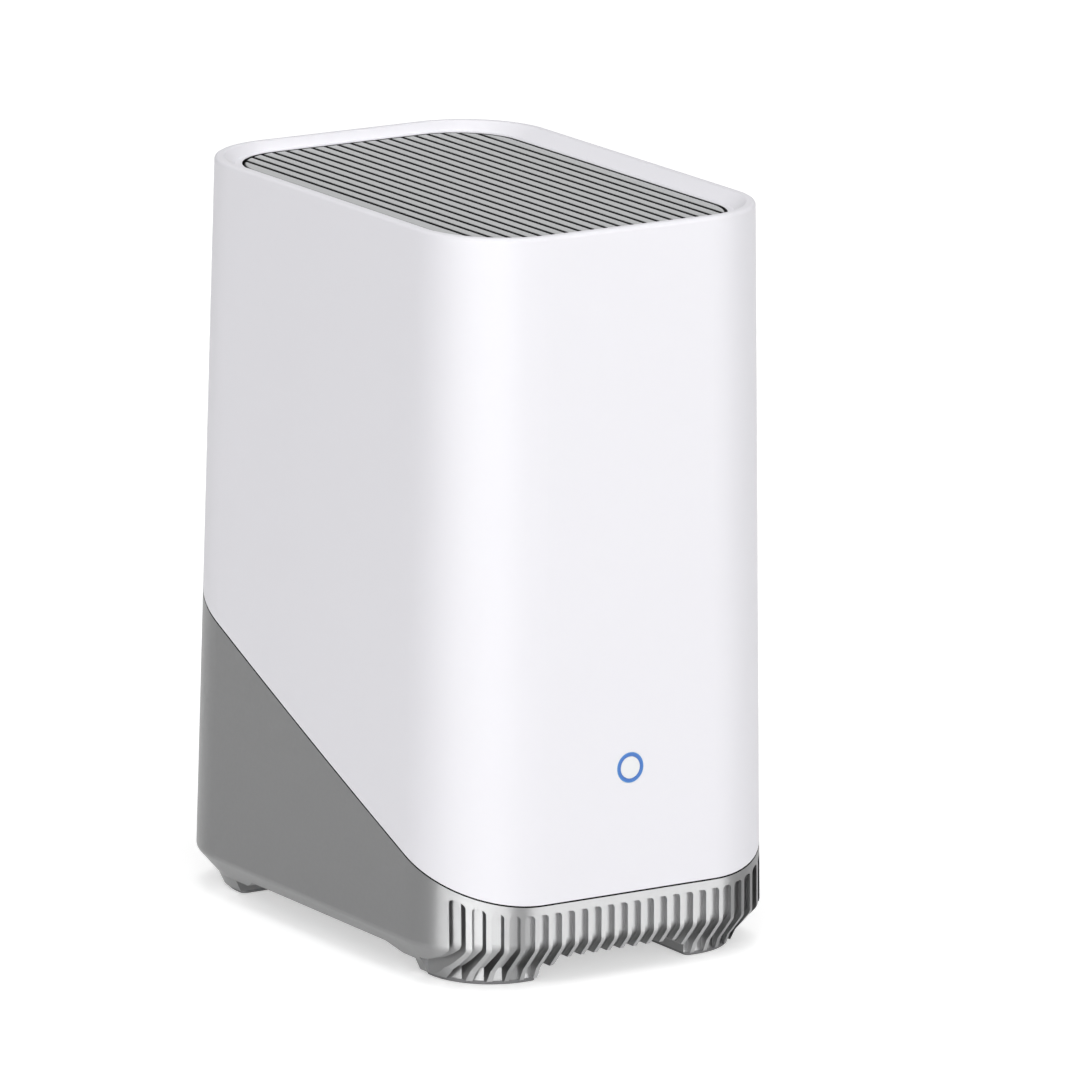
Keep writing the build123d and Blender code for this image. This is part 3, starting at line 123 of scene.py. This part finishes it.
def number_step(tree, operation, first, second):
    """A calculation with two linked numbers, kept between 0 and 1."""
    step = tree.nodes.new("ShaderNodeMath")
    step.operation = operation
    step.use_clamp = True
    link(tree, first, step.inputs[0])
    link(tree, second, step.inputs[1])
    return step.outputs["Value"]


def vector_step(tree, operation, vector, values=(0.0, 0.0, 0.0)):
    """A calculation with a linked vector; LENGTH gives a number and the others a vector."""
    step = tree.nodes.new("ShaderNodeVectorMath")
    step.operation = operation
    link(tree, vector, step.inputs[0])
    step.inputs[1].default_value = values
    return step.outputs["Value" if operation == "LENGTH" else "Vector"]


def upward_part(tree, vector):
    """The Z part of a linked vector."""
    parts = tree.nodes.new("ShaderNodeSeparateXYZ")
    link(tree, vector, parts.inputs["Vector"])
    return parts.outputs["Z"]


def mix_colours(tree, factor, first, second):
    """A colour that goes from first, which may be linked, to second as factor grows."""
    mixer = tree.nodes.new("ShaderNodeMix")
    mixer.data_type = "RGBA"
    if isinstance(first, tuple):
        mixer.inputs["A"].default_value = (*first, 1.0)
    else:
        link(tree, first, mixer.inputs["A"])
    mixer.inputs["B"].default_value = (*second, 1.0)
    link(tree, factor, mixer.inputs["Factor"])
    return mixer.outputs["Result"]


def in_grooves(tree, where):
    """0 on the grille's face and 1 down in its grooves."""
    height = upward_part(tree, where.outputs["Object"])
    start, end = (grille_level - depth for depth in shade_depths)
    return ranged(tree, height, start, end)


def in_opening(tree, where):
    """1 on the walls of the opening around the grille and 0 on the rest of the shell."""
    offset = vector_step(tree, "ABSOLUTE", where.outputs["Object"])
    offset = vector_step(tree, "SUBTRACT", offset, opening_centre)
    offset = vector_step(tree, "MAXIMUM", offset)
    offset = vector_step(tree, "MULTIPLY", offset, (1.0, 1.0, 0.0))
    radius = vector_step(tree, "LENGTH", offset)
    start, end = (opening_radius + distance for distance in shade_distances)
    near_wall = ranged(tree, radius, start, end)
    return number_step(tree, "MULTIPLY", near_wall, in_grooves(tree, where))


def on_seam(tree, where):
    """1 on the housing's upper faces, which lie in the seam's shade, and 0 elsewhere."""
    return ranged(tree, upward_part(tree, where.outputs["Normal"]), *shade_slopes)


def toned(colour, change):
    """A colour made lighter or darker by a share of itself."""
    return tuple(min(1.0, channel * (1.0 + change)) for channel in colour)


def finish(
    name,
    colour,
    roughness,
    metallic=0.0,
    mottle=0.03,
    grain=900.0,
    bump=0.02,
    coat=0.0,
    streak=0.0,
    dark=None,
):
    """A mottled finish with a fine grain.

    streak draws its highlights out upright, and dark is the function of its deep shade.
    """
    material, tree, shader, where = new_material(name)
    broad = noise(tree, where, mottle_scale, mottle_detail)
    fine = noise(tree, where, grain, grain_detail)
    tint = mix_colours(tree, broad, toned(colour, -mottle), toned(colour, mottle))
    if dark:
        tint = mix_colours(tree, dark(tree, where), tint, shade_colour)
    smoothest = roughness * (1.0 - roughness_change)
    roughest = roughness * (1.0 + roughness_change)
    link(tree, tint, shader.inputs["Base Color"])
    link(tree, ranged(tree, fine, 0.0, 1.0, smoothest, roughest), shader.inputs["Roughness"])
    shader.inputs["Metallic"].default_value = metallic
    shader.inputs["Coat Weight"].default_value = coat
    if streak:
        upright = tree.nodes.new("ShaderNodeCombineXYZ")
        upright.inputs["Z"].default_value = 1.0
        shader.inputs["Anisotropic"].default_value = streak
        link(tree, upright.outputs["Vector"], shader.inputs["Tangent"])
    relief = tree.nodes.new("ShaderNodeBump")
    relief.inputs["Strength"].default_value = bump
    relief.inputs["Distance"].default_value = grain_height
    link(tree, fine, relief.inputs["Height"])
    link(tree, relief.outputs["Normal"], shader.inputs["Normal"])
    return material


def lit_ring(name):
    """A frosted blue ring, palest at its outer edge and lit from within."""
    material, tree, shader, where = new_material(name)
    offset = vector_step(tree, "SUBTRACT", where.outputs["Object"], (0.0, 0.0, ring_height))
    offset = vector_step(tree, "MULTIPLY", offset, (1.0, 0.0, 1.0))
    radius = vector_step(tree, "LENGTH", offset)
    ramp = tree.nodes.new("ShaderNodeValToRGB")
    ramp.color_ramp.elements[0].color = (*ring_deep, 1.0)
    ramp.color_ramp.elements[1].color = (*ring_pale, 1.0)
    ramp.color_ramp.elements[0].position = ring_pale_share
    link(tree, ranged(tree, radius, ring_inner, ring_outer), ramp.inputs["Fac"])
    link(tree, ramp.outputs["Color"], shader.inputs["Base Color"])
    link(tree, ramp.outputs["Color"], shader.inputs["Emission Color"])
    shader.inputs["Emission Strength"].default_value = ring_glow
    shader.inputs["Roughness"].default_value = ring_roughness
    return material


looks = {
    "shell_white": dict(
        colour=(0.805, 0.797, 0.835), roughness=0.45, mottle=0.004, dark=in_opening
    ),
    "grille_white": dict(
        colour=(0.50, 0.505, 0.51), roughness=0.6, mottle=0.01, dark=in_grooves
    ),
    "tray_white": dict(colour=(0.79, 0.80, 0.81), roughness=0.45, mottle=0.01),
    "housing_grey": dict(
        colour=(0.295, 0.296, 0.298),
        roughness=0.45,
        metallic=0.95,
        mottle=0.01,
        bump=0.005,
        streak=0.9,
        dark=on_seam,
    ),
    "cover_grey": dict(colour=(0.27, 0.275, 0.28), roughness=0.5, metallic=0.3),
    "pad_rubber": dict(colour=(0.17, 0.17, 0.175), roughness=0.7, grain=1400.0, bump=0.08),
    "cap_white": dict(colour=(0.82, 0.83, 0.84), roughness=0.3, mottle=0.01),
    "frame_black": dict(colour=(0.03, 0.03, 0.032), roughness=0.6),
    "screw_steel": dict(colour=(0.55, 0.55, 0.56), roughness=0.3, metallic=1.0, mottle=0.06),
    "panel_dark": dict(colour=(0.09, 0.09, 0.095), roughness=0.5),
    "screen_black": dict(colour=(0.015, 0.015, 0.015), roughness=0.8),
    "board_green": dict(colour=(0.02, 0.13, 0.06), roughness=0.35, mottle=0.25, coat=0.3),
    "chip_black": dict(colour=(0.025, 0.025, 0.027), roughness=0.55),
    "thermal_blue": dict(colour=(0.30, 0.42, 0.60), roughness=0.8),
    "sink_aluminium": dict(
        colour=(0.75, 0.76, 0.77), roughness=0.35, metallic=1.0, mottle=0.05
    ),
    "pin_white": dict(colour=(0.72, 0.72, 0.69), roughness=0.5),
    "shield_steel": dict(colour=(0.66, 0.66, 0.64), roughness=0.3, metallic=1.0, mottle=0.08),
    "coil_grey": dict(colour=(0.08, 0.08, 0.08), roughness=0.65, mottle=0.2),
    "capacitor_metal": dict(
        colour=(0.70, 0.70, 0.71), roughness=0.3, metallic=1.0, mottle=0.05
    ),
    "header_cream": dict(colour=(0.74, 0.70, 0.60), roughness=0.5),
    "port_steel": dict(colour=(0.62, 0.62, 0.61), roughness=0.28, metallic=1.0, mottle=0.06),
    "contact_gold": dict(colour=(0.83, 0.62, 0.25), roughness=0.25, metallic=1.0, mottle=0.06),
    "tongue_black": dict(colour=(0.03, 0.03, 0.03), roughness=0.5),
    "jack_black": dict(colour=(0.03, 0.03, 0.03), roughness=0.35),
    "button_grey": dict(colour=(0.42, 0.425, 0.43), roughness=0.45),
    "plunger_white": dict(colour=(0.66, 0.66, 0.64), roughness=0.5),
    "switch_black": dict(colour=(0.04, 0.04, 0.04), roughness=0.55),
    "led_yellow": dict(colour=(0.85, 0.80, 0.35), roughness=0.3, mottle=0.08),
    "cage_steel": dict(colour=(0.60, 0.61, 0.62), roughness=0.32, metallic=1.0, mottle=0.08),
    "connector_black": dict(colour=(0.03, 0.03, 0.03), roughness=0.5),
    "ribbon_grey": dict(colour=(0.55, 0.55, 0.56), roughness=0.5),
    "fan_black": dict(colour=(0.035, 0.035, 0.035), roughness=0.5),
    "motor_steel": dict(colour=(0.40, 0.36, 0.32), roughness=0.4, metallic=0.8, mottle=0.15),
    "lead_black": dict(colour=(0.03, 0.03, 0.03), roughness=0.6),
    "lead_grey": dict(colour=(0.22, 0.22, 0.23), roughness=0.6),
    "cone_black": dict(colour=(0.05, 0.05, 0.055), roughness=0.7, mottle=0.15),
    "magnet_iron": dict(colour=(0.22, 0.22, 0.23), roughness=0.4, metallic=0.9, mottle=0.1),
    "antenna_green": dict(colour=(0.03, 0.13, 0.08), roughness=0.4, mottle=0.2),
}
finishes = {name: finish(name, **look) for name, look in looks.items()}
finishes["ring_blue"] = lit_ring("ring_blue")
for entry in frame["record"]["subparts"]:
    node = nodes[entry["node"]]
    node.data.materials.clear()
    node.data.materials.append(finishes[entry["material_slot"]])


def stage_floor():
    """A wide pale floor that is seen as plain white, with the object's soft shadow kept."""
    sheet = bmesh.new()
    bmesh.ops.create_grid(sheet, x_segments=1, y_segments=1, size=floor_reach)
    mesh = bpy.data.meshes.new("floor")
    sheet.to_mesh(mesh)
    sheet.free()
    floor = bpy.data.objects.new("floor", mesh)
    bpy.context.scene.collection.objects.link(floor)
    material, tree, shader, where = new_material("floor_white")
    mottle = noise(tree, where, floor_mottle_scale, floor_mottle_detail)
    link(tree, mix_colours(tree, mottle, *floor_colours), shader.inputs["Base Color"])
    shader.inputs["Roughness"].default_value = floor_roughness
    shader.inputs["Specular IOR Level"].default_value = floor_shine
    ray = tree.nodes.new("ShaderNodeLightPath").outputs
    seen = number_step(tree, "ADD", ray["Is Camera Ray"], ray["Is Glossy Ray"])
    away = vector_step(tree, "LENGTH", where.outputs["Object"])
    level = ranged(tree, away, *lift_distances, *lift_levels)
    shader.inputs["Emission Color"].default_value = studio_white
    link(tree, number_step(tree, "MULTIPLY", seen, level), shader.inputs["Emission Strength"])
    mesh.materials.append(material)


def direction(azimuth, elevation):
    """A unit vector; azimuth turns it from the front toward +X, and elevation lifts it."""
    turn = math.radians(azimuth)
    rise = math.radians(elevation)
    reach = math.cos(rise)
    return Vector((math.sin(turn) * reach, -math.cos(turn) * reach, math.sin(rise)))


def softbox(name, azimuth, elevation, distance, size, power, only_shine=False):
    """A flat light aimed at the object's middle; only_shine shows it in highlights alone."""
    data = bpy.data.lights.new(name, "AREA")
    data.shape = "RECTANGLE"
    data.size, data.size_y = size
    data.energy = power
    lamp = bpy.data.objects.new(name, data)
    bpy.context.scene.collection.objects.link(lamp)
    way = direction(azimuth, elevation)
    lamp.location = camera_target + way * distance
    lamp.rotation_euler = way.to_track_quat("Z", "Y").to_euler()
    lamp.visible_diffuse = not only_shine


def surroundings():
    """Pale surroundings that light the object evenly."""
    world = bpy.data.worlds.new("studio")
    bpy.context.scene.world = world
    world.use_nodes = True
    backdrop = world.node_tree.nodes["Background"]
    backdrop.inputs["Color"].default_value = studio_white
    backdrop.inputs["Strength"].default_value = studio_strength


def place_camera():
    """The camera, rolled about its line of sight and then shifted right and up."""
    data = bpy.data.cameras.new("camera")
    data.lens = camera_lens
    data.sensor_width = camera_sensor
    camera = bpy.data.objects.new("camera", data)
    scene = bpy.context.scene
    scene.collection.objects.link(camera)
    scene.camera = camera
    roll = math.radians(camera_roll)
    back = direction(camera_azimuth, camera_elevation)
    level = direction(camera_azimuth + 90.0, 0.0)
    upright = back.cross(level)
    right = level * math.cos(roll) + upright * math.sin(roll)
    up = upright * math.cos(roll) - level * math.sin(roll)
    shift = right * camera_shift_right + up * camera_shift_up
    camera.rotation_mode = "QUATERNION"
    camera.rotation_quaternion = Matrix((right, up, back)).transposed().to_quaternion()
    camera.location = camera_target + back * camera_distance + shift


stage_floor()
surroundings()
softbox("key", azimuth=-50.0, elevation=35.0, distance=2.2, size=(1.2, 1.2), power=6.0)
softbox("low_key", azimuth=-38.0, elevation=12.0, distance=3.8, size=(4.2, 1.0), power=47.0)
softbox(
    "left_card",
    azimuth=-50.0,
    elevation=8.0,
    distance=3.0,
    size=(5.6, 0.8),
    power=180.0,
    only_shine=True,
)
softbox(
    "right_card",
    azimuth=30.0,
    elevation=8.0,
    distance=3.0,
    size=(1.9, 0.8),
    power=50.0,
    only_shine=True,
)
softbox("fill", azimuth=35.0, elevation=15.0, distance=3.0, size=(1.2, 1.2), power=12.5)
softbox("top", azimuth=0.0, elevation=85.0, distance=2.0, size=(1.6, 1.6), power=22.0)
place_camera()
bpy.context.scene.view_settings.view_transform = "Standard"
